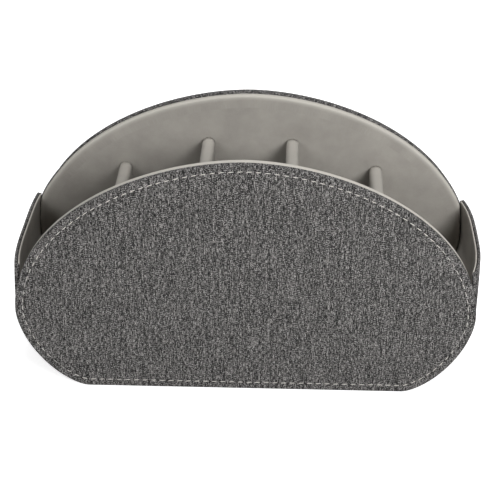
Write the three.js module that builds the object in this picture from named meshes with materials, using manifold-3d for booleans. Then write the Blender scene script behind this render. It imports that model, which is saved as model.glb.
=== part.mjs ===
// Bedside caddy: a free-standing organizer with five compartments side by side.
//
// Two equal dome-shaped panels stand at the front and the rear. A gusset of a flat base and two
// bent side walls joins them, and four padded dividers cross from panel to panel. Each wall is a
// cloth-wrapped board outside and suede inside, over foam on the panels and the dividers.
//
// Millimetres. X runs across the width, Y from front to rear and Z up. The origin is the middle
// of the footprint, on the table. The rear panel is the front panel turned half round, and the
// left side wall mirrors the right one.

import * as THREE from 'three';
import { mergeVertices, toCreasedNormals } from 'three/addons/utils/BufferGeometryUtils.js';
import Module from 'manifold-3d';

// Panel outline: a superellipse dome over the widest height, and under it two corners that are
// quarters of another superellipse and run into the flat base
const panelWidth = 259.4;
const baseWidth = 181;
const caddyDepth = 100.8;
const widestHeight = 49.7;
const domeRise = 94.3;
const domeAcrossPower = 1.835;
const domeUpPower = 2.03;
const cornerAcrossPower = 1.534;
const cornerUpPower = 1.671;

// Sheet goods
const clothThickness = 0.5;
const suedeThickness = 0.8;
const boardThickness = 2.4;
const panelFoamThickness = 2.8;
const dividerFoamThickness = 1.5;
const gussetCardThickness = 0.8;
const gussetLiningThickness = 1.1;
const glueLine = 0.1;

// Wrapped panels
const clothTurnIn = 12;
const panelRounding = 1.2;
const liningRounding = 1.6;
const liningRimStep = 0.4;

// Side walls: they rise from the widest point to the shoulder, a little higher at the front than at
// the rear, and bow outwards at their free edge
const shoulderHeight = 76.7;
const shoulderSlope = 1.8;
const shoulderLean = 1;
const sideBow = 3.9;
const bowStartHeight = 34;
const sideSeamGap = 0.3;
const sideEndReturn = 1;

// Dividers
const dividerSpacing = 49.8;
const outerDividerTop = 99.1;
const innerDividerTop = 115.9;

// Fineness of the curves
const domeSteps = 22;
const cornerSteps = 9;
const riserSteps = 5;
const bowSteps = 10;
const returnSteps = 1;
const roundingSteps = 2;
const bullnoseSteps = 10;
const overrun = 1;
const wholeShare = 1;
const weldDistance = 0.0001;
const creaseAngle = Math.PI / 6;

// Sizes that follow
const halfWidth = panelWidth / 2;
const baseHalfWidth = baseWidth / 2;
const frontFace = -caddyDepth / 2;
const shellThickness = boardThickness + 2 * (clothThickness + glueLine);
const shellBack = frontFace + shellThickness;
const liningThickness = panelFoamThickness + 2 * (suedeThickness + glueLine);
const liningFront = shellBack + glueLine;
const liningFace = liningFront + liningThickness;
const gussetShell = gussetCardThickness + 2 * (clothThickness + glueLine);
const gussetLiningStart = gussetShell + sideSeamGap;
const gussetThickness = gussetLiningStart + gussetLiningThickness;
const gussetHalfDepth = -shellBack - glueLine;
const baseBoardTop = clothThickness + glueLine + boardThickness;
const baseTop = baseBoardTop + glueLine + gussetLiningThickness;
const riserLength = shoulderHeight - widestHeight;

const wasm = await Module();
wasm.setup();

// Outline curves, all in the XZ plane as seen from the front

// A quarter of a superellipse, from the panel's widest point to its crown, or down to its foot
// where the rise is negative.
class QuarterCurve extends THREE.Curve {
  constructor(rise, endHalfWidth, acrossPower, upPower) {
    super();
    this.rise = rise;
    this.endHalfWidth = endHalfWidth;
    this.acrossPower = acrossPower;
    this.upPower = upPower;
  }

  getPoint(share, target = new THREE.Vector2()) {
    const angle = share * (Math.PI / 2);
    const across = Math.pow(Math.max(Math.cos(angle), 0), 2 / this.acrossPower);
    const up = Math.pow(Math.sin(angle), 2 / this.upPower);
    const x = this.endHalfWidth + (halfWidth - this.endHalfWidth) * across;
    return target.set(x, widestHeight + this.rise * up);
  }
}

const domeCurve = new QuarterCurve(domeRise, 0, domeAcrossPower, domeUpPower);
const cornerCurve = new QuarterCurve(-widestHeight, baseHalfWidth, cornerAcrossPower, cornerUpPower);

// A point of a curve, by share of its length, moved square to it towards the inside of the panel.
function insetPoint(curve, share, distance) {
  const tangent = curve.getTangentAt(share);
  const inwards = new THREE.Vector2(-tangent.y, tangent.x).multiplyScalar(Math.sign(curve.rise));
  return curve.getPointAt(share).addScaledVector(inwards, distance);
}

// The lower corner from the base upwards, at a distance inside the panel's edge.
function cornerPoints(inset) {
  const points = [];
  for (let step = 0; step <= cornerSteps; step += 1) {
    points.push(insetPoint(cornerCurve, 1 - step / cornerSteps, inset));
  }
  return points;
}

// The dome from just above the widest height to the crown, at a distance inside the edge.
function domePoints(inset) {
  const points = [];
  for (let step = 1; step <= domeSteps; step += 1) {
    points.push(insetPoint(domeCurve, step / domeSteps, inset));
  }
  return points;
}

// A closed outline: corner and dome, cut off level at the floor, with their mirror image.
function closeOutline(corner, dome, floor) {
  const kept = corner.filter((point) => point.y > floor);
  const above = kept[0];
  const below = corner[corner.indexOf(above) - 1];
  if (below) {
    kept.unshift(below.clone().lerp(above, (floor - below.y) / (above.y - below.y)));
  }
  const half = [...kept, ...dome];
  const fromCrown = half.slice(0, -1).reverse();
  return [...half, ...fromCrown.map((point) => new THREE.Vector2(-point.x, point.y))];
}

// Outline of a panel, at a distance inside its edge.
function panelOutline(inset) {
  return closeOutline(cornerPoints(inset), domePoints(inset), inset);
}

// Outer half width of a side wall's end above the widest height, by share of the way up to the
// shoulder.
function riserHalfWidth(share) {
  return halfWidth - shoulderLean * share * share;
}

// Outline of a panel's lining, at a distance inside its edge: the dome above the shoulders, and
// below them the inside of the side walls and the top of the base.
function liningOutline(inset) {
  const wall = gussetThickness + glueLine + inset;
  const dome = domePoints(liningRimStep + inset);
  for (const point of dome) {
    const share = (point.y - widestHeight) / (riserLength - shoulderSlope);
    point.x = Math.min(point.x, riserHalfWidth(share) - wall);
  }
  return closeOutline(cornerPoints(wall), dome, baseTop + glueLine + inset);
}

// Solids

function toSolid(geometry) {
  const bare = geometry.clone();
  bare.deleteAttribute('normal');
  bare.deleteAttribute('uv');
  const welded = mergeVertices(bare, weldDistance);
  return new wasm.Manifold(
    new wasm.Mesh({
      numProp: 3,
      vertProperties: welded.attributes.position.array,
      triVerts: welded.index.array,
    })
  );
}

function toGeometry(solid) {
  const mesh = solid.getMesh();
  const geometry = new THREE.BufferGeometry();
  geometry.setAttribute('position', new THREE.BufferAttribute(mesh.vertProperties, 3));
  geometry.setIndex(new THREE.BufferAttribute(mesh.triVerts, 1));
  return toCreasedNormals(geometry, creaseAngle);
}

// An upright sheet with the given outline, from its front face backwards.
function uprightSheet(outline, front, thickness, rounding = 0) {
  const sheet = new THREE.ExtrudeGeometry(new THREE.Shape(outline), {
    depth: thickness - 2 * rounding,
    bevelEnabled: rounding > 0,
    bevelThickness: rounding,
    bevelSize: rounding,
    bevelOffset: -rounding,
    bevelSegments: roundingSteps,
  });
  sheet.translate(0, 0, rounding);
  sheet.rotateX(Math.PI / 2);
  sheet.translate(0, front + thickness, 0);
  return sheet;
}

// A sheet of cloth wrapped round a flat filling: one whole face, the edge all round, and a
// turned-in border on the other face, which leaves a window there.
function wrapSheet({ outlineAt, front, thickness, sheet, rounding, windowFront }) {
  const body = toSolid(uprightSheet(outlineAt(0), front, thickness, rounding));
  const pocket = uprightSheet(outlineAt(sheet), front + sheet, thickness - 2 * sheet);
  const window = uprightSheet(outlineAt(clothTurnIn), windowFront, sheet + overrun);
  return toGeometry(body.subtract(toSolid(pocket)).subtract(toSolid(window)));
}

// Side walls: each layer is drawn flat, as distance along the wall and depth below its outside,
// drawn out across the caddy, and then bent round the panel's lower corner.

// The outside of a side wall's end, from the edge of the base up to the shoulder.
const cornerLength = cornerCurve.getLength();
const sideLength = cornerLength + riserLength;

class SideLine extends THREE.Curve {
  getPoint(share, target = new THREE.Vector2()) {
    const place = share * sideLength;
    if (place < cornerLength) {
      return cornerCurve.getPointAt(1 - place / cornerLength, target);
    }
    const rise = place - cornerLength;
    return target.set(riserHalfWidth(rise / riserLength), widestHeight + rise);
  }
}

const sideLine = new SideLine();

// Places along a side wall where every layer of it bends, so that the layers nest.
const bendPlaces = [];
for (let step = 1; step <= cornerSteps; step += 1) {
  bendPlaces.push(cornerLength * (step / cornerSteps));
}
for (let step = 1; step < riserSteps; step += 1) {
  bendPlaces.push(cornerLength + riserLength * (step / riserSteps));
}

// How far a side wall stands out from the straight line between its two ends.
function bowAt(height, depthPlace) {
  const rise = Math.max((height - bowStartHeight) / (shoulderHeight - bowStartHeight), 0);
  const across = depthPlace / gussetHalfDepth;
  return sideBow * rise * rise * (1 - across * across);
}

// How far the slope of its top edge lifts a point of a side wall.
function liftAt(height, depthPlace) {
  const rise = Math.max((height - widestHeight) / riserLength, 0);
  return (-shoulderSlope * rise * depthPlace) / gussetHalfDepth;
}

// The bent and bowed place of a point of the flat side wall: its distance along the wall from the
// base, its depth below the outside, and its distance from the middle towards the rear.
function bendPoint(place, depth, along) {
  const share = place / sideLength;
  const outside = sideLine.getPoint(share);
  const tangent = sideLine.getTangent(share);
  const height = outside.y + tangent.x * depth;
  const across = outside.x - tangent.y * depth + bowAt(height, along);
  return new THREE.Vector3(across, along, height + liftAt(height, along));
}

// A layer of the side wall between two depths, two places along the wall and two places from front
// to rear. It is a block with a column of points at each bend, and its top may be fully rounded.
function sideLayer({
  outerDepth,
  innerDepth,
  start,
  top,
  from,
  to = -from,
  steps = bowSteps,
  roundTop = false,
}) {
  const radius = (innerDepth - outerDepth) / 2;
  const bends = bendPlaces.filter((place) => place > start && place < top - radius);
  const columns = [start, ...bends, top];
  const rows = roundTop ? 2 * roundingSteps : 1;
  const layer = new THREE.BoxGeometry(
    wholeShare,
    wholeShare,
    wholeShare,
    columns.length - 1,
    rows,
    steps
  );
  const points = layer.attributes.position;
  for (let index = 0; index < points.count; index += 1) {
    const column = Math.round((points.getX(index) + wholeShare / 2) * (columns.length - 1));
    const angle = points.getY(index) * Math.PI;
    const roundPlace = top - radius * (1 - Math.cos(angle));
    const roundDepth = outerDepth + radius * (1 + Math.sin(angle));
    const flatDepth = outerDepth + 2 * radius * (points.getY(index) + wholeShare / 2);
    const along = from + (to - from) * (wholeShare / 2 - points.getZ(index));
    const place = roundTop && column === columns.length - 1 ? roundPlace : columns[column];
    const bent = bendPoint(place, roundTop ? roundDepth : flatDepth, along);
    points.setXYZ(index, bent.x, bent.y, bent.z);
  }
  return toSolid(layer);
}

// The outer cloth: down the outside, over the card's top edge and turned in behind it. At both
// ends it is turned in over the card and the lining.
function sideCloth() {
  const filled = gussetHalfDepth - sideEndReturn;
  const body = sideLayer({
    outerDepth: 0,
    innerDepth: gussetShell,
    start: glueLine,
    top: sideLength,
    from: -gussetHalfDepth,
    roundTop: true,
  });
  const cardPocket = sideLayer({
    outerDepth: clothThickness,
    innerDepth: gussetShell - clothThickness,
    start: 0,
    top: sideLength - clothThickness,
    from: -filled,
  });
  const openBack = sideLayer({
    outerDepth: gussetShell / 2,
    innerDepth: gussetShell + overrun,
    start: 0,
    top: sideLength - clothTurnIn,
    from: -filled,
  });
  const returns = [-gussetHalfDepth, filled].map((from) =>
    sideLayer({
      outerDepth: gussetShell / 2,
      innerDepth: gussetThickness,
      start: glueLine,
      top: sideLength - sideSeamGap,
      from,
      to: from + sideEndReturn,
      steps: returnSteps,
    })
  );
  return body.subtract(cardPocket).subtract(openBack).add(returns[0]).add(returns[1]);
}

// A flat layer of the base.
function baseLayer(bottom, top) {
  const width = 2 * (baseHalfWidth - glueLine);
  const layer = new THREE.BoxGeometry(width, 2 * gussetHalfDepth, top - bottom);
  return layer.translate(0, 0, (bottom + top) / 2);
}

// Dividers

// An upright blade with a fully rounded top, standing on a given height.
function bladeOutline(thickness, foot, top) {
  const radius = thickness / 2;
  const blade = new THREE.Path();
  blade.moveTo(radius, foot);
  blade.absarc(0, top - radius, radius, 0, Math.PI, false);
  blade.lineTo(-radius, foot);
  return blade.getPoints(bullnoseSteps);
}

// A sheet folded over a blade, open at its foot.
function foldedSheet(thickness, sheet, foot, top, length) {
  const outside = bladeOutline(thickness, foot, top);
  const inside = bladeOutline(thickness - 2 * sheet, foot, top - sheet).reverse();
  return uprightSheet([...outside, ...inside], -length / 2, length);
}

// Materials, one for each piece

const linenLook = { color: '#6a6866', roughness: 0.92, metalness: 0 };
const suede = { color: '#928e86', roughness: 0.95, metalness: 0 };
const greyBoard = { color: '#8d7f6a', roughness: 0.9, metalness: 0 };
const whiteFoam = { color: '#d9d5cb', roughness: 1, metalness: 0 };

function piece(name, geometry, look) {
  const mesh = new THREE.Mesh(geometry, new THREE.MeshStandardMaterial(look));
  mesh.name = name;
  return mesh;
}

// Assembly

function panel(name) {
  const group = new THREE.Group();
  const cover = wrapSheet({
    outlineAt: panelOutline,
    front: frontFace,
    thickness: shellThickness,
    sheet: clothThickness,
    rounding: Math.min(panelRounding, shellThickness / 2),
    windowFront: shellBack - clothThickness,
  });
  const boardEdge = clothThickness + glueLine;
  const board = uprightSheet(panelOutline(boardEdge), frontFace + boardEdge, boardThickness);
  const lining = wrapSheet({
    outlineAt: liningOutline,
    front: liningFront,
    thickness: liningThickness,
    sheet: suedeThickness,
    rounding: Math.min(liningRounding, liningThickness / 2),
    windowFront: liningFront - overrun,
  });
  const foamEdge = suedeThickness + glueLine;
  const foam = uprightSheet(liningOutline(foamEdge), liningFront + foamEdge, panelFoamThickness);
  group.add(
    piece(`${name}_cover`, cover, linenLook),
    piece(`${name}_board`, board, greyBoard),
    piece(`${name}_lining`, lining, suede),
    piece(`${name}_padding`, foam, whiteFoam)
  );
  return group;
}

function sideWall(name, mirrored) {
  const group = new THREE.Group();
  const cardDepth = clothThickness + glueLine;
  const from = sideEndReturn + glueLine - gussetHalfDepth;
  const card = sideLayer({
    outerDepth: cardDepth,
    innerDepth: cardDepth + gussetCardThickness,
    start: glueLine,
    top: sideLength - cardDepth,
    from,
  });
  const lining = sideLayer({
    outerDepth: gussetLiningStart,
    innerDepth: gussetThickness,
    start: glueLine,
    top: sideLength - sideSeamGap,
    from,
  });
  const put = (solid) => toGeometry(mirrored ? solid.mirror([wholeShare, 0, 0]) : solid);
  group.add(
    piece(`${name}_cover`, put(sideCloth()), linenLook),
    piece(`${name}_card`, put(card), greyBoard),
    piece(`${name}_lining`, put(lining), suede)
  );
  return group;
}

function base() {
  const group = new THREE.Group();
  const boardBottom = clothThickness + glueLine;
  group.add(
    piece('base_cover', baseLayer(0, clothThickness), linenLook),
    piece('base_board', baseLayer(boardBottom, baseBoardTop), greyBoard),
    piece('base_lining', baseLayer(baseBoardTop + glueLine, baseTop), suede)
  );
  return group;
}

function divider(name, top) {
  const group = new THREE.Group();
  const foot = baseTop + glueLine;
  const length = -2 * (liningFace + glueLine);
  const foamInset = suedeThickness + glueLine;
  const foamThickness = boardThickness + 2 * (dividerFoamThickness + glueLine);
  const coverThickness = foamThickness + 2 * foamInset;
  const foamTop = top - foamInset;
  const boardTop = foamTop - dividerFoamThickness - glueLine;
  const cover = foldedSheet(coverThickness, suedeThickness, foot, top, length);
  const foam = foldedSheet(foamThickness, dividerFoamThickness, foot, foamTop, length);
  const board = uprightSheet(bladeOutline(boardThickness, foot, boardTop), -length / 2, length);
  group.add(
    piece(`${name}_cover`, cover, suede),
    piece(`${name}_padding`, foam, whiteFoam),
    piece(`${name}_board`, board, greyBoard)
  );
  return group;
}

const caddy = new THREE.Group();
caddy.name = 'bedside_caddy';

const frontPanel = panel('front');
const rearPanel = panel('rear');
rearPanel.rotation.z = Math.PI;

caddy.add(frontPanel, rearPanel, sideWall('left_side', true), sideWall('right_side', false), base());

const dividerTops = [outerDividerTop, innerDividerTop, innerDividerTop, outerDividerTop];
for (const [index, top] of dividerTops.entries()) {
  const blade = divider(`divider_${index + 1}`, top);
  blade.position.x = (index - (dividerTops.length - 1) / 2) * dividerSpacing;
  caddy.add(blade);
}

export default caddy;
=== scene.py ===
"""Bedside caddy with cloth-wrapped panels, suede-look lining and padded dividers.

Lengths are in millimetres until a mesh is finished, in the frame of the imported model: X runs
across the width, Y from front to rear, Z up, with the origin on the table under the middle.
"""

import math

import bmesh
import bpy
import numpy as np
from mathutils import Matrix, Vector


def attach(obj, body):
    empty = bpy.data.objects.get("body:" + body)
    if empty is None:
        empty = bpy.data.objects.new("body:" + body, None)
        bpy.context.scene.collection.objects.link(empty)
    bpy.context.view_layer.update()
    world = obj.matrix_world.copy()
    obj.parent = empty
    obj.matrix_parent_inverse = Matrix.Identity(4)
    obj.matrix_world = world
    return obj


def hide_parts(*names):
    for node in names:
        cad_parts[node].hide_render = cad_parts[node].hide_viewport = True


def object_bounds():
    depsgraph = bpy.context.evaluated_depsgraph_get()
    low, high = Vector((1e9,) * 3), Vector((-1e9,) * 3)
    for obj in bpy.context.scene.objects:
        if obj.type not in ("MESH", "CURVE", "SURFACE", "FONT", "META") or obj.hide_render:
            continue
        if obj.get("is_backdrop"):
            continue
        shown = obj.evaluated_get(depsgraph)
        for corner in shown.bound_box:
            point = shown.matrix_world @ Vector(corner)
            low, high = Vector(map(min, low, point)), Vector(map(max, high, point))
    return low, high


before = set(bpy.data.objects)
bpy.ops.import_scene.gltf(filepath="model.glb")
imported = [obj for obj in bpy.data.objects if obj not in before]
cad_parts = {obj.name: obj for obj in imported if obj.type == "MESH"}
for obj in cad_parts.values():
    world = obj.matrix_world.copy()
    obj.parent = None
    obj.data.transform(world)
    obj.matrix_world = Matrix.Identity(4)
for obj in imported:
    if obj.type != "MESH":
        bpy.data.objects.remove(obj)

packed_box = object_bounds()

# Panel outline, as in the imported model
PANEL_WIDTH = 259.4
BASE_WIDTH = 181.0
CADDY_DEPTH = 100.8
WIDEST_HEIGHT = 49.7
DOME_RISE = 94.3
DOME_POWERS = (1.835, 2.03)
CORNER_POWERS = (1.534, 1.671)

# Layers; the side walls are pressed 0.5 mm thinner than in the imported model
SHELL_THICKNESS = 3.6
LINING_THICKNESS = 4.6
GLUE_LINE = 0.1
CLOTH_THICKNESS = 0.5
CARD_START = 0.6
CARD_END = 1.3
SIDE_SHELL = 1.7
SIDE_LINING_START = 2.05
SIDE_THICKNESS = 2.9
SIDE_END_RETURN = 1.0
SIDE_SEAM_GAP = 0.3
BASE_BOARD_TOP = 3.0
BASE_TOP = 4.2

# How far a lining's rim stays inside the cloth's edge, at the crown and at the shoulders
FRONT_RIM_STEPS = (0.35, 0.35)
REAR_RIM_STEPS = (0.9, 0.1)

# How far from a rim a painted highlight pales the suede, and how much it pales a divider's top
PANEL_RIM_REACH = 2.2
WALL_RIM_REACH = 1.5
DIVIDER_TOP_HIGHLIGHT = 0.4

# Side walls. They bow outwards towards the free edge, the right one more than the left one
SHOULDER_HEIGHT = 76.7
SHOULDER_SLOPE = 1.8
SHOULDER_LEAN = 1.0
BOW_START_HEIGHT = 20.0
BOW_UP_POWER = 0.8
BOW_ALONG_POWER = 3
LEFT_BOW = 2.9
RIGHT_BOW = 4.6

# The rear corners are drawn outwards between two heights, more on the left than on the right.
# That starts at a share of the half width, and it takes a further share to be full.
SPREAD_FOOT = 22.0
SPREAD_TOP = 90.0
SPREAD_START = 0.75
SPREAD_BLEND = 0.2
LEFT_SPREAD = 3.0
RIGHT_SPREAD = 1.4

DIVIDER_THICKNESS = 7.4
DIVIDER_TOP_POWER = 0.85
DIVIDER_PLACES = (-74.7, -24.9, 24.9, 74.7)
DIVIDER_TOPS = (99.1, 115.9, 115.9, 99.1)

# How far apart on the suede the dividers' covers are cut, so that their clouds differ
CUT_SPACING = 200

# Seam, 640 mm round each panel, with a stitch every 5 mm
SEAM_INSET = 4.4
PUCKER_DEPTH = 0.12
PUCKER_REACH = 0.7
STITCH_COUNT = 128
STITCH_LENGTH = 3.1
STITCH_WIDTH = 0.5
STITCH_HEIGHT = 0.36
STITCH_SLANT = 4

# How deep the middle of a stitch lies behind the face: on average, how much that varies in two
# waves (radians per stitch), and how much more at the sides, in full between the middle heights
STITCH_DEPTH = 0.24
STITCH_UNEVENNESS = 0.07
STITCH_WAVES = (0.19, 0.83)
SIDE_SINK = 0.17
SIDE_SINK_HEIGHTS = (5, 11, 85, 105)

# Fineness: samples of the exact curves, half the window that a direction is taken over, and the
# points and rows of the meshes
OUTLINE_SAMPLES = 1500
OUTLINE_STEP = 0.5
CORNER_SAMPLES = 3000
SAMPLES_PER_STATION = 8
OUTLINE_WINDOW = 0.4
SEAM_WINDOW = 3.0
RIM_WINDOW = 6.0
WALL_WINDOW = 0.3
POINTS_PER_STITCH = 6
RIM_POINTS = 640
RIM_INSET = 2.0
WALL_POINTS_UP = 52
WALL_TOP_POINTS = 9
WALL_ROWS = 43
WALL_END_STEP = 0.01
BASE_POINTS_ACROSS = 13
BASE_ROWS = 9
DIVIDER_POINTS_UP = 30
DIVIDER_TOP_POINTS = 17
DIVIDER_ROWS = 31
WELD_DISTANCE = 1e-6

HALF_WIDTH = PANEL_WIDTH / 2
BASE_HALF_WIDTH = BASE_WIDTH / 2
FRONT_FACE = -CADDY_DEPTH / 2
SHELL_BACK = FRONT_FACE + SHELL_THICKNESS
LINING_BACK = SHELL_BACK + GLUE_LINE
LINING_FACE = LINING_BACK + LINING_THICKNESS
SIDE_HALF_DEPTH = -SHELL_BACK - GLUE_LINE
RISER_LENGTH = SHOULDER_HEIGHT - WIDEST_HEIGHT
CROWN_HEIGHT = WIDEST_HEIGHT + DOME_RISE
METRES = 0.001
TO_MILLIMETRES = (1 / METRES,) * 3


def linear(code):
    """Linear colour with alpha, from an sRGB hex value."""
    parts = [int(code[i : i + 2], 16) / 255 for i in (1, 3, 5)]
    return [c / 12.92 if c <= 0.04045 else ((c + 0.055) / 1.055) ** 2.4 for c in parts] + [1.0]


def quarter(rise, end, powers, share):
    """A quarter superellipse (x, z), from the widest point at share 0 to the crown or the foot."""
    angle = share * math.pi / 2
    across = max(math.cos(angle), 0) ** (2 / powers[0])
    up = math.sin(angle) ** (2 / powers[1])
    return end + (HALF_WIDTH - end) * across, WIDEST_HEIGHT + rise * up


def half_outline():
    """The right half of a panel's edge, from the middle of its foot up to the crown."""
    fine = np.linspace(0, 1, OUTLINE_SAMPLES)
    corner = [quarter(-WIDEST_HEIGHT, BASE_HALF_WIDTH, CORNER_POWERS, s) for s in fine[::-1]]
    dome = [quarter(DOME_RISE, 0, DOME_POWERS, s) for s in fine[1:]]
    return [(0.0, 0.0)] + corner + dome


def closed(half):
    """The whole outline, from its right half."""
    return np.array(half + [(-x, z) for x, z in half[-2:0:-1]])


class Loop:
    """A closed outline with its edge point and inward direction at any distance along it.

    The direction is taken over a window, so that lines inside the edge don't fold at a bend.
    """

    def __init__(self, points, window):
        self.points = np.vstack([points, points[:1]])
        steps = np.linalg.norm(np.diff(self.points, axis=0), axis=1)
        self.run = np.concatenate([[0], np.cumsum(steps)])
        self.length = self.run[-1]
        self.window = window

    def at(self, distance):
        """Points of the edge at an array of distances along it."""
        place = np.mod(distance, self.length)
        return np.stack([np.interp(place, self.run, self.points[:, k]) for k in (0, 1)], axis=-1)

    def inward(self, distance):
        """Unit directions to the inside at an array of distances along the edge."""
        ahead = self.at(distance + self.window) - self.at(distance - self.window)
        turned = np.stack([-ahead[:, 1], ahead[:, 0]], axis=-1)
        return turned / np.linalg.norm(turned, axis=1)[:, None]

    def stations(self, count, inset):
        """Edge points and inward directions, evenly spaced along a line inside the edge."""
        fine = np.linspace(0, self.length, SAMPLES_PER_STATION * count + 1)
        line = self.at(fine) + self.inward(fine) * inset
        run = np.concatenate([[0], np.cumsum(np.linalg.norm(np.diff(line, axis=0), axis=1))])
        even = np.interp(np.arange(count) / count * run[-1], run, fine)
        return self.at(even), self.inward(even)


def riser_half_width(share):
    """Outer half width of a side wall's end, by share of the way up to the shoulder."""
    return HALF_WIDTH - SHOULDER_LEAN * share * share


def lining_outline(rim_steps):
    """Edge of a panel's lining: the dome, the inside of the side walls and the top of the base."""
    panel = Loop(closed(half_outline()), OUTLINE_WINDOW)
    wall = SIDE_THICKNESS + GLUE_LINE
    half = []
    for distance in np.arange(0, panel.length / 2, OUTLINE_STEP):
        edge = panel.at(np.array([distance]))[0]
        inward = panel.inward(np.array([distance]))[0]
        if edge[1] > WIDEST_HEIGHT:
            step = np.interp(edge[1], (SHOULDER_HEIGHT, CROWN_HEIGHT), rim_steps[::-1])
            x, z = edge + inward * step
            share = (z - WIDEST_HEIGHT) / (RISER_LENGTH - SHOULDER_SLOPE)
            x = min(x, riser_half_width(share) - wall)
        else:
            x, z = edge + inward * wall
        half.append((x, max(z, BASE_TOP + GLUE_LINE)))
    half.append((0.0, CROWN_HEIGHT - rim_steps[0]))
    half[0] = (0.0, half[0][1])
    return closed(half)


def run_lengths(points):
    """Length from the first point of a line to each of its points."""
    steps = np.linalg.norm(np.diff(np.array(points), axis=0), axis=1)
    return np.concatenate([[0], np.cumsum(steps)])


def spread_rear(bm):
    """Moves the rear corners outwards at mid-height, most at the back edge of the walls."""
    for vert in bm.verts:
        x, y, z = (c / METRES for c in vert.co)
        share = (z - SPREAD_FOOT) / (SPREAD_TOP - SPREAD_FOOT)
        near = (abs(x) - SPREAD_START * HALF_WIDTH) / (SPREAD_BLEND * HALF_WIDTH)
        if 0 < share < 1 and near > 0 and y > 0:
            reach = math.sin(math.pi * share) * min(near, 1) * (y / -FRONT_FACE) ** 2
            vert.co.x += METRES * reach * (RIGHT_SPREAD if x > 0 else -LEFT_SPREAD)


def finished_piece(name, bm, material, slot_name):
    """Makes the object of a piece from its bmesh, with a finish, and lets it ride on the caddy."""
    spread_rear(bm)
    mesh = bpy.data.meshes.new(name)
    bm.to_mesh(mesh)
    bm.free()
    mesh.shade_smooth()
    mesh.materials.append(material)
    piece = bpy.data.objects.new(name, mesh)
    bpy.context.scene.collection.objects.link(piece)
    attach(piece, "root")
    return piece


def tube(name, around, along, place, flat, painted_highlight, material, slot_name):
    """A closed skin: a grid bent into a tube by place(i, j), with both ends filled.

    flat(i, j) is where a point lies on the cloth before it is wrapped, for the weave, and the
    last function of (i, j) gives the share of painted highlight there, from 0 to 1, most at a rim.
    """
    bm = bmesh.new()
    # Share of painted highlight at each point, which the suede reads to turn paler
    highlight_amount = bm.verts.layers.float.new("painted_highlight")
    bmesh.ops.create_grid(bm, x_segments=around, y_segments=along, size=0.5)
    weave = bm.loops.layers.uv.new("cloth")
    cells = {v: (round((v.co.x + 0.5) * around), round((v.co.y + 0.5) * along)) for v in bm.verts}
    for face in bm.faces:
        for loop in face.loops:
            loop[weave].uv = Vector(flat(*cells[loop.vert])) * METRES
    for vert, (i, j) in cells.items():
        vert.co = Vector(place(i % around, j)) * METRES
        vert[highlight_amount] = painted_highlight(i % around, j)
    bmesh.ops.remove_doubles(bm, verts=bm.verts, dist=WELD_DISTANCE)
    rims = [e for e in bm.edges if e.is_boundary]
    before = set(bm.faces)
    bmesh.ops.edgeloop_fill(bm, edges=rims)
    for face in set(bm.faces) - before:
        for loop in face.loops:
            across = loop.vert.co.x if abs(face.normal.y) > 0.7 else loop.vert.co.y
            loop[weave].uv = (across, loop.vert.co.z)
    bmesh.ops.recalc_face_normals(bm, faces=bm.faces)
    return finished_piece(name, bm, material, slot_name)


class Nodes:
    """A node tree whose nodes are added one by one.

    A socket is given by its name, or by its place where a node has more than one of a name. A Mix
    node's factor is 0, its numbers are 2 and 3, and its colours are 6 and 7.
    """

    def __init__(self, tree):
        self.nodes = tree.nodes
        self.links = tree.links

    def add(self, kind, links=None, values=None, **settings):
        """Adds a node with its settings, socket values and incoming links."""
        node = self.nodes.new(kind)
        for key, value in settings.items():
            setattr(node, key, value)
        for key, value in (values or {}).items():
            node.inputs[key].default_value = value
        for key, source in (links or {}).items():
            self.links.new(source, node.inputs[key])
        return node

    def seen(self):
        """1 for what the camera sees, also by way of a gloss, and 0 for the light that it casts."""
        path = self.add("ShaderNodeLightPath").outputs
        mirrored = self.add(
            "ShaderNodeMath",
            {0: path["Is Glossy Ray"], 1: path["Is Transmission Ray"]},
            operation="MAXIMUM",
        ).outputs[0]
        return self.add(
            "ShaderNodeMath", {0: path["Is Camera Ray"], 1: mirrored}, operation="MAXIMUM"
        ).outputs[0]


class Finish(Nodes):
    """A node material of one finish."""

    def __init__(self, name, rough):
        self.material = bpy.data.materials.new(name)
        self.material.use_nodes = True
        super().__init__(self.material.node_tree)
        self.shader = self.nodes["Principled BSDF"]
        self.shader.inputs["Roughness"].default_value = rough
        self.shader.inputs["Metallic"].default_value = 0.0


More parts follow.
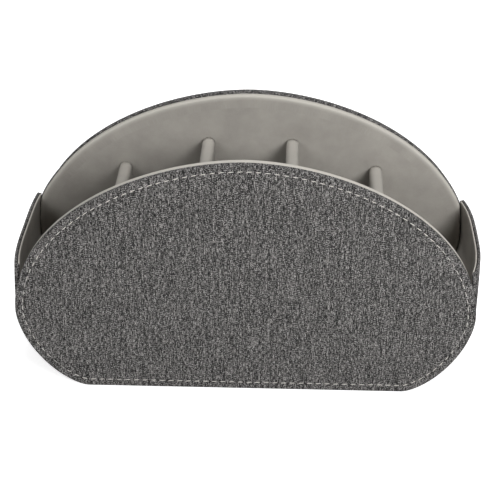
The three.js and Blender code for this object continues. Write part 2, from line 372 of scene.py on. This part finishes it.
def linen_look():
    """Polyester linen-look upholstery cloth, plain woven from mottled grey yarns.

    Upright and level yarns 0.62 mm apart change tone about every 3 mm and every 1.6 mm, and faint
    slubs run upright for about 20 mm. It gives a dark mottled grey with fine pale specks and no
    shine.
    """
    finish = Finish("linen_look_polyester", 0.95)
    add = finish.add
    yarn = 0.62
    uv = add("ShaderNodeUVMap", uv_map="cloth").outputs["UV"]
    grid = add(
        "ShaderNodeVectorMath", {0: uv}, {1: TO_MILLIMETRES}, operation="MULTIPLY"
    ).outputs[0]

    # Warp, weft and slubs: width and height of their streaks, and their place in the noise
    strands = []
    for size, location in (
        ((yarn, 3.0), (3.0, 7.0, 0.0)),
        ((1.6, yarn), (19.0, 5.0, 0.0)),
        ((1.6, 20.0), (0.0, 0.0, 0.0)),
    ):
        place = add(
            "ShaderNodeMapping",
            {0: grid},
            {"Scale": (1 / size[0], 1 / size[1], 1.0), "Location": location},
        )
        strands.append(
            add(
                "ShaderNodeTexNoise",
                {"Vector": place.outputs[0]},
                {"Scale": 1.0, "Detail": 2.0, "Roughness": 0.7},
                noise_dimensions="2D",
            ).outputs[0]
        )
    warp, weft, slubs = strands

    # Over and under: where a warp yarn lies on top its colour shows, elsewhere the weft's
    phase = add("ShaderNodeVectorMath", {0: grid}, {1: (math.pi / yarn,) * 3}, operation="MULTIPLY")
    waves = add("ShaderNodeVectorMath", {0: phase.outputs[0]}, operation="SINE")
    split = add("ShaderNodeSeparateXYZ", {0: waves.outputs[0]})
    crossing = add(
        "ShaderNodeMath", {0: split.outputs[0], 1: split.outputs[1]}, operation="MULTIPLY"
    ).outputs[0]
    over = add(
        "ShaderNodeMapRange", {"Value": crossing}, {"From Min": -0.2, "From Max": 0.2}
    ).outputs[0]
    crossed = add("ShaderNodeMix", {0: over, 2: warp, 3: weft}, data_type="FLOAT").outputs[0]
    tone = add("ShaderNodeMix", {2: crossed, 3: slubs}, {0: 0.16}, data_type="FLOAT").outputs[0]
    spread = add(
        "ShaderNodeMapRange", {"Value": tone}, {"From Min": 0.44, "From Max": 0.66}
    ).outputs[0]
    contrast = add("ShaderNodeMath", {0: spread}, {1: 1.5}, operation="POWER").outputs[0]
    colour = add(
        "ShaderNodeMix",
        {0: contrast},
        {6: linear("#1c1c1c"), 7: linear("#aeaba9")},
        data_type="RGBA",
    ).outputs[2]
    finish.links.new(colour, finish.shader.inputs["Base Color"])

    ridge = add("ShaderNodeMath", {0: crossing}, operation="ABSOLUTE").outputs[0]
    relief = add("ShaderNodeMath", {0: ridge, 1: tone}, operation="ADD").outputs[0]
    bump = add("ShaderNodeBump", {"Height": relief}, {"Strength": 0.6, "Distance": 0.00012})
    finish.links.new(bump.outputs[0], finish.shader.inputs["Normal"])
    finish.shader.inputs["Specular IOR Level"].default_value = 0.2
    return finish.material


def suede_look():
    """Brushed microfibre suede, warm grey.

    A short nap that lies in soft patches of about 18 mm, with a grain of about 0.5 mm. It gives a
    dull surface with faint clouds, and a painted highlight makes it paler along the rims and the
    divider tops.
    """
    finish = Finish("microfibre_suede", 0.95)
    add = finish.add
    uv = add("ShaderNodeUVMap", uv_map="cloth").outputs["UV"]
    grid = add(
        "ShaderNodeVectorMath", {0: uv}, {1: TO_MILLIMETRES}, operation="MULTIPLY"
    ).outputs[0]
    clouds = add(
        "ShaderNodeTexNoise",
        {"Vector": grid},
        {"Scale": 1 / 18, "Detail": 4.0, "Roughness": 0.6},
        noise_dimensions="2D",
    ).outputs[0]
    nap = add(
        "ShaderNodeTexNoise",
        {"Vector": grid},
        {"Scale": 1 / 0.5, "Detail": 3.0, "Roughness": 0.7},
        noise_dimensions="2D",
    ).outputs[0]
    tone = add("ShaderNodeMix", {2: clouds, 3: nap}, {0: 0.4}, data_type="FLOAT").outputs[0]
    contrast = add(
        "ShaderNodeMapRange", {"Value": tone}, {"From Min": 0.3, "From Max": 0.7}
    ).outputs[0]
    clouded = add(
        "ShaderNodeMix",
        {0: contrast},
        {6: linear("#95918b"), 7: linear("#a9a59e")},
        data_type="RGBA",
    ).outputs[2]
    # Painted highlight: mixes the suede towards a paler colour along the rims and divider tops
    highlight_amount = add("ShaderNodeAttribute", attribute_name="painted_highlight").outputs["Fac"]
    colour = add(
        "ShaderNodeMix",
        {0: highlight_amount, 6: clouded},
        {7: linear("#c4c0b8")},
        data_type="RGBA",
    ).outputs[2]
    finish.links.new(colour, finish.shader.inputs["Base Color"])
    bump = add("ShaderNodeBump", {"Height": nap}, {"Strength": 0.35, "Distance": 0.0001})
    finish.links.new(bump.outputs[0], finish.shader.inputs["Normal"])
    finish.shader.inputs["Specular IOR Level"].default_value = 0.1
    finish.shader.inputs["Sheen Weight"].default_value = 0.04
    finish.shader.inputs["Sheen Roughness"].default_value = 0.5
    return finish.material


def sewing_thread():
    """Two-ply polyester sewing thread, off-white: fine slanted plies with a slight gloss."""
    finish = Finish("polyester_thread", 0.6)
    add = finish.add
    where = add("ShaderNodeTexCoord").outputs["Object"]
    plies = add(
        "ShaderNodeTexWave",
        {"Vector": where},
        {"Scale": 900.0, "Distortion": 1.0},
        bands_direction="DIAGONAL",
    ).outputs["Fac"]
    colour = add(
        "ShaderNodeMix",
        {0: plies},
        {6: linear("#b8b4ad"), 7: linear("#ece8e1")},
        data_type="RGBA",
    ).outputs[2]
    finish.links.new(colour, finish.shader.inputs["Base Color"])
    bump = add("ShaderNodeBump", {"Height": plies}, {"Strength": 0.4, "Distance": 0.0001})
    finish.links.new(bump.outputs[0], finish.shader.inputs["Normal"])
    return finish.material


def pressed_greyboard():
    """Pressed greyboard: dull grey-brown with short fibre flecks of about 1 mm."""
    finish = Finish("pressed_greyboard", 0.9)
    add = finish.add
    where = add("ShaderNodeTexCoord").outputs["Object"]
    flecks = add(
        "ShaderNodeTexNoise",
        {"Vector": where},
        {"Scale": 1000.0, "Detail": 3.0, "Roughness": 0.7},
    ).outputs[0]
    colour = add(
        "ShaderNodeMix",
        {0: flecks},
        {6: linear("#6f6452"), 7: linear("#a89a84")},
        data_type="RGBA",
    ).outputs[2]
    finish.links.new(colour, finish.shader.inputs["Base Color"])
    return finish.material


LINEN = linen_look()
SUEDE = suede_look()
THREAD = sewing_thread()
BOARD = pressed_greyboard()

# Front and rear panels

SEAM_POINTS = STITCH_COUNT * POINTS_PER_STITCH
EDGE, INWARD = Loop(closed(half_outline()), SEAM_WINDOW).stations(SEAM_POINTS, SEAM_INSET)
FRONT_RIM, REAR_RIM = (
    Loop(lining_outline(steps), RIM_WINDOW).stations(RIM_POINTS, RIM_INSET)
    for steps in (FRONT_RIM_STEPS, REAR_RIM_STEPS)
)

# Cloth round the board, from the middle of the face over the edge to the middle of the back, as
# (distance inside the edge, depth behind the face); the seam draws it in at 4.4 mm
COVER_PROFILE = [
    (9.0, 0.0), (6.4, 0.0), (5.5, 0.04), (4.9, 0.18), (4.4, 0.34), (3.9, 0.18), (3.2, 0.03),
    (2.0, 0.0), (0.9, 0.03), (0.45, 0.12), (0.15, 0.36), (0.03, 0.7), (0.0, 1.2), (0.0, 2.6),
    (0.05, 3.0), (0.2, 3.35), (0.5, 3.53), (1.2, 3.6), (9.0, 3.6),
]

# Suede round the foam, from the middle of the back over the rim to the middle of the face
LINING_PROFILE = [
    (7.5, 0.0), (1.6, 0.0), (0.8, 0.12), (0.3, 0.45), (0.06, 0.95), (0.0, 1.5), (0.0, 2.6),
    (0.06, 3.2), (0.3, 3.75), (0.8, 4.1), (1.6, 4.3), (3.0, 4.42), (5.0, 4.52), (7.5, 4.6),
]


def seam_pucker(i, inset, depth):
    """The cloth dips at each stitch hole and is drawn in along the seam."""
    near = math.exp(-(((inset - SEAM_INSET) / PUCKER_REACH) ** 2))
    hole = 0.5 + 0.5 * math.cos(2 * math.pi * i / POINTS_PER_STITCH)
    return PUCKER_DEPTH * near * hole if depth < SHELL_THICKNESS / 2 else 0.0


def no_pucker(i, inset, depth):
    """The suede has no seam."""
    return 0.0


def panel_skin(name, edge, inward, profile, start, sign, pucker, material, slot_name):
    """A wrapped panel; sign is 1 for the front panel and -1 for the rear one, turned half round."""
    count = len(edge)
    flat_run = run_lengths(profile)
    deepest = profile[0][0]

    def place(i, j):
        inset, depth = profile[j]
        x, z = edge[i] + inward[i] * inset
        return sign * x, sign * (start + depth + pucker(i, inset, depth)), z

    def flat(i, j):
        reach = max(deepest - flat_run[j], -deepest)
        return edge[i % count] + inward[i % count] * reach

    # Painted highlight: the suede pales within a reach of its rim
    def painted_highlight(i, j):
        return max(1 - profile[j][0] / PANEL_RIM_REACH, 0)

    return tube(name, count, len(profile) - 1, place, flat, painted_highlight, material, slot_name)


for name, sign, rim in (("front", 1, FRONT_RIM), ("rear", -1, REAR_RIM)):
    cloth = panel_skin(
        f"{name}_panel_cloth", EDGE, INWARD, COVER_PROFILE, FRONT_FACE, sign, seam_pucker, LINEN,
        "linen_look_cloth",
    )
    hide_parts(f"{name}_cover")
    pad = panel_skin(
        f"{name}_panel_suede", *rim, LINING_PROFILE, LINING_BACK, sign, no_pucker, SUEDE,
        "suede_lining",
    )
    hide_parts(f"{name}_lining", f"{name}_padding")


def stitching(name, sign):
    """One short thread over each stitch, with its ends sunk in the holes.

    The seam is pulled tighter round the sides, where the threads lie deeper in the cloth.
    """
    bm = bmesh.new()
    lying = Matrix.Rotation(math.pi / 2, 3, "Y")
    seam = EDGE + INWARD * SEAM_INSET
    slow, fast = STITCH_WAVES
    for index in range(STITCH_COUNT):
        i = index * POINTS_PER_STITCH + POINTS_PER_STITCH // 2
        ahead = seam[(i + 1) % SEAM_POINTS] - seam[i - 1]
        slant = math.atan2(ahead[1], ahead[0]) + math.radians(STITCH_SLANT)
        thread = bmesh.ops.create_uvsphere(bm, u_segments=8, v_segments=6, radius=0.5)["verts"]
        bmesh.ops.rotate(bm, verts=thread, matrix=lying)
        bmesh.ops.scale(bm, verts=thread, vec=(STITCH_LENGTH, STITCH_HEIGHT, STITCH_WIDTH))
        bmesh.ops.rotate(bm, verts=thread, matrix=Matrix.Rotation(-slant, 3, "Y"))
        sunk = STITCH_DEPTH + STITCH_UNEVENNESS * math.sin(slow * index) * math.cos(fast * index)
        sunk += SIDE_SINK * np.interp(seam[i][1], SIDE_SINK_HEIGHTS, (0, 1, 1, 0))
        bmesh.ops.translate(bm, verts=thread, vec=(seam[i][0], FRONT_FACE + sunk, seam[i][1]))
    if sign < 0:
        bmesh.ops.rotate(bm, verts=bm.verts, matrix=Matrix.Rotation(math.pi, 3, "Z"))
    bmesh.ops.scale(bm, verts=bm.verts, vec=(METRES,) * 3)
    finished_piece(name, bm, THREAD, "linen_look_cloth")


stitching("front_stitching", 1)
stitching("rear_stitching", -1)

# Side walls

CORNER = np.array(
    [
        quarter(-WIDEST_HEIGHT, BASE_HALF_WIDTH, CORNER_POWERS, s)
        for s in np.linspace(1, 0, CORNER_SAMPLES)
    ]
)
CORNER_RUN = run_lengths(CORNER)
CORNER_LENGTH = CORNER_RUN[-1]
SIDE_LENGTH = CORNER_LENGTH + RISER_LENGTH


def side_line(place):
    """Outside of a side wall's end, at a distance from the edge of the base."""
    if place < CORNER_LENGTH:
        return np.array([np.interp(place, CORNER_RUN, CORNER[:, k]) for k in (0, 1)])
    rise = place - CORNER_LENGTH
    return np.array([riser_half_width(rise / RISER_LENGTH), WIDEST_HEIGHT + rise])


def bend_point(place, depth, along, bow):
    """A point of the flat side wall, bent round the lower corner, bowed and lifted at the front."""
    low = side_line(max(place - WALL_WINDOW, 0))
    high = side_line(place + WALL_WINDOW)
    tangent = (high - low) / np.linalg.norm(high - low)
    outside = side_line(place)
    height = outside[1] + tangent[0] * depth
    across = along / SIDE_HALF_DEPTH
    rise = max((height - BOW_START_HEIGHT) / (SHOULDER_HEIGHT - BOW_START_HEIGHT), 0)
    lift = -SHOULDER_SLOPE * across * max((height - WIDEST_HEIGHT) / RISER_LENGTH, 0)
    out = bow * rise**BOW_UP_POWER * (1 - abs(across) ** BOW_ALONG_POWER)
    return outside[0] - tangent[1] * depth + out, along, height + lift


def side_section(outer, inner, top):
    """Closed section of a side wall layer, as (place, depth), with a fully rounded top edge."""
    radius = (inner - outer) / 2
    places = np.linspace(GLUE_LINE, top - radius, WALL_POINTS_UP)
    cap = [
        (top - radius + radius * math.cos(a), outer + radius + radius * math.sin(a))
        for a in np.linspace(-math.pi / 2, math.pi / 2, WALL_TOP_POINTS)[1:-1]
    ]
    return [(p, outer) for p in places] + cap + [(p, inner) for p in places[::-1]]


def side_skin(name, sign, bow, outer, inner, top, end_return, material, slot_name):
    """A side wall layer. The cloth turns in at both ends, over the card and the lining."""
    section = side_section(outer, inner, top)
    flat_run = run_lengths(section + section[:1])
    half_depth = SIDE_HALF_DEPTH if end_return else SIDE_HALF_DEPTH - SIDE_END_RETURN - GLUE_LINE
    inside = half_depth - SIDE_END_RETURN
    rows = list(np.linspace(-inside, inside, WALL_ROWS))
    if end_return:
        turn = inside + WALL_END_STEP
        rows = [-half_depth, -turn] + rows + [turn, half_depth]
    else:
        rows = [-half_depth] + rows + [half_depth]

    def place(i, j):
        along, depth = section[i]
        if end_return and abs(rows[j]) > inside and depth > (outer + inner) / 2:
            depth += (depth - (outer + inner) / 2) * 2 * (SIDE_THICKNESS - inner) / (inner - outer)
            along = min(along, top - SIDE_SEAM_GAP)
        x, y, z = bend_point(along, depth, rows[j], bow)
        return sign * x, y, z

    def flat(i, j):
        return rows[j], flat_run[i]

    # Painted highlight: the suede pales towards the wall's top edge
    def painted_highlight(i, j):
        return max(1 - (top - section[i][0]) / WALL_RIM_REACH, 0)

    return tube(name, len(section), len(rows) - 1, place, flat, painted_highlight, material, slot_name)


for name, sign, bow in (("left_side", -1, LEFT_BOW), ("right_side", 1, RIGHT_BOW)):
    wall = side_skin(
        f"{name}_cloth", sign, bow, 0.0, SIDE_SHELL, SIDE_LENGTH, True, LINEN, "linen_look_cloth"
    )
    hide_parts(f"{name}_cover")
    card = side_skin(
        f"{name}_greyboard", sign, bow, CARD_START, CARD_END, SIDE_LENGTH - CARD_START, False,
        BOARD, "greyboard",
    )
    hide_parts(f"{name}_card")
    lining = side_skin(
        f"{name}_suede", sign, bow, SIDE_LINING_START, SIDE_THICKNESS, SIDE_LENGTH - SIDE_SEAM_GAP,
        False, SUEDE, "suede_lining",
    )
    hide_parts(f"{name}_lining")

# Base


def base_skin(name, bottom, top, material, slot_name):
    """A flat layer of the base, and its width and depth in metres."""
    width = BASE_WIDTH - 2 * GLUE_LINE
    xs = np.linspace(-width / 2, width / 2, BASE_POINTS_ACROSS)
    section = [(x, bottom) for x in xs] + [(x, top) for x in xs[::-1]]
    flat_run = run_lengths(section + section[:1])
    rows = np.linspace(-SIDE_HALF_DEPTH, SIDE_HALF_DEPTH, BASE_ROWS)

    def place(i, j):
        return section[i][0], rows[j], section[i][1]

    def flat(i, j):
        return rows[j], flat_run[i]

    def painted_highlight(i, j):
        return 0

    layer = tube(name, len(section), len(rows) - 1, place, flat, painted_highlight, material, slot_name)
    return layer, (width * METRES, 2 * SIDE_HALF_DEPTH * METRES)


under, under_size = base_skin("base_cloth", 0.0, CLOTH_THICKNESS, LINEN, "linen_look_cloth")
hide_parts("base_cover")
floor_suede, floor_size = base_skin(
    "base_suede", BASE_BOARD_TOP + GLUE_LINE, BASE_TOP, SUEDE, "suede_lining"
)
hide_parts("base_lining")

# Dividers


def divider(index, centre, top):
    """A padded blade from panel to panel, with a rounded top edge."""
    radius = DIVIDER_THICKNESS / 2
    foot = BASE_TOP + GLUE_LINE
    half_length = -(LINING_FACE + GLUE_LINE)
    heights = np.linspace(foot, top - radius, DIVIDER_POINTS_UP)
    cap = [
        (
            math.copysign(radius * abs(math.cos(a)) ** DIVIDER_TOP_POWER, math.cos(a)),
            top - radius + radius * math.sin(a) ** DIVIDER_TOP_POWER,
        )
        for a in np.linspace(0, math.pi, DIVIDER_TOP_POINTS)[1:-1]
    ]
    section = [(radius, z) for z in heights] + cap + [(-radius, z) for z in heights[::-1]]
    flat_run = run_lengths(section + section[:1])
    rows = np.linspace(-half_length, half_length, DIVIDER_ROWS)

    def place(i, j):
        x, z = section[i]
        return centre + x, rows[j], z

    def flat(i, j):
        return rows[j] + CUT_SPACING * index, flat_run[i]

    # Painted highlight: the suede pales over the divider's rounded top
    def painted_highlight(i, j):
        return DIVIDER_TOP_HIGHLIGHT * max(1 - (top - section[i][1]) / radius, 0)

    blade = tube(
        f"divider_{index}_suede", len(section), len(rows) - 1, place, flat, painted_highlight, SUEDE,
        "suede_lining",
    )
    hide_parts(f"divider_{index}_cover", f"divider_{index}_padding")


for index, (centre, top) in enumerate(zip(DIVIDER_PLACES, DIVIDER_TOPS), 1):
    divider(index, centre, top)

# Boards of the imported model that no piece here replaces
for name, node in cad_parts.items():
    if name.endswith("board"):
        node.data.materials.clear()
        node.data.materials.append(BOARD)

# Floor, light and camera. Places and sizes are in metres, the sensor's width is in millimetres, and
# the focal length and the picture's width are in pixels.

FLOOR_SIZE = 3.0
ROOM_LIGHT = 0.02
SENSOR_WIDTH = 36
FOCAL_LENGTH = 1590
PICTURE_WIDTH = 500

bm = bmesh.new()
bmesh.ops.create_grid(bm, x_segments=1, y_segments=1, size=FLOOR_SIZE)
mesh = bpy.data.meshes.new("floor")
bm.to_mesh(mesh)
bm.free()
paper = Finish("matt_white_paper", 1.0)
paper.shader.inputs["Base Color"].default_value = linear("#e6e6e6")
paper.shader.inputs["Specular IOR Level"].default_value = 0.0
paper.shader.inputs["Emission Color"].default_value = linear("#ffffff")
# The paper glows to the camera only, and far from the caddy it is as white as the room
where = paper.add("ShaderNodeTexCoord").outputs["Object"]
reach = paper.add("ShaderNodeVectorMath", {0: where}, operation="LENGTH").outputs["Value"]
fade = paper.add(
    "ShaderNodeMapRange",
    {"Value": reach},
    {"From Min": 0.4, "From Max": 1.4, "To Min": 0.75, "To Max": 1.0},
)
glow = paper.add("ShaderNodeMath", {0: paper.seen(), 1: fade.outputs[0]}, operation="MULTIPLY")
paper.links.new(glow.outputs[0], paper.shader.inputs["Emission Strength"])
mesh.materials.append(paper.material)
floor = bpy.data.objects.new("floor", mesh)
bpy.context.scene.collection.objects.link(floor)
floor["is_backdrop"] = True

world = bpy.data.worlds.new("studio")
bpy.context.scene.world = world
world.use_nodes = True
room = Nodes(world.node_tree)
background = room.nodes["Background"]
background.inputs["Color"].default_value = linear("#ffffff")
white = room.add("ShaderNodeMath", {0: room.seen()}, {1: ROOM_LIGHT}, operation="MAXIMUM")
room.links.new(white.outputs[0], background.inputs["Strength"])


def softbox(name, place, target, size, power):
    """A rectangular lamp of a width, height and power, turned to its target."""
    lamp = bpy.data.lights.new(name, "AREA")
    lamp.shape = "RECTANGLE"
    lamp.size, lamp.size_y = size
    lamp.energy = power
    holder = bpy.data.objects.new(name, lamp)
    bpy.context.scene.collection.objects.link(holder)
    holder.location = place
    holder.rotation_euler = (Vector(target) - Vector(place)).to_track_quat("-Z", "Y").to_euler()


softbox("right_softbox", (0.55, -0.92, 0.6), (0, 0, 0.07), (0.5, 0.4), 10.9)
softbox("left_softbox", (-0.64, -0.85, 0.63), (0, 0, 0.07), (0.4, 0.4), 3.1)
softbox("top_softbox", (0.0, 0.1, 1.3), (0, 0, 0.08), (0.3, 0.3), 6.1)
softbox("rear_softbox", (0.0, 1.0, 0.3), (0, 0, 0.06), (0.6, 0.4), 6.5)

camera_data = bpy.data.cameras.new("camera")
camera_data.sensor_width = SENSOR_WIDTH
camera_data.lens = FOCAL_LENGTH * SENSOR_WIDTH / PICTURE_WIDTH
camera = bpy.data.objects.new("camera", camera_data)
bpy.context.scene.collection.objects.link(camera)
eye = Vector((29.3, -810.7, 520.8)) * METRES
looked_at = Vector((1.26, 0.0, 63.56)) * METRES
camera.location = eye
camera.rotation_euler = (looked_at - eye).to_track_quat("-Z", "Y").to_euler()
camera.rotation_euler.rotate_axis("Z", math.radians(0.12))
bpy.context.scene.camera = camera

bpy.context.scene.view_settings.view_transform = "Standard"

boxes = {"packed": packed_box, "visual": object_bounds()}
{k: [[float(c) for c in corner] for corner in v] for k, v in boxes.items()}
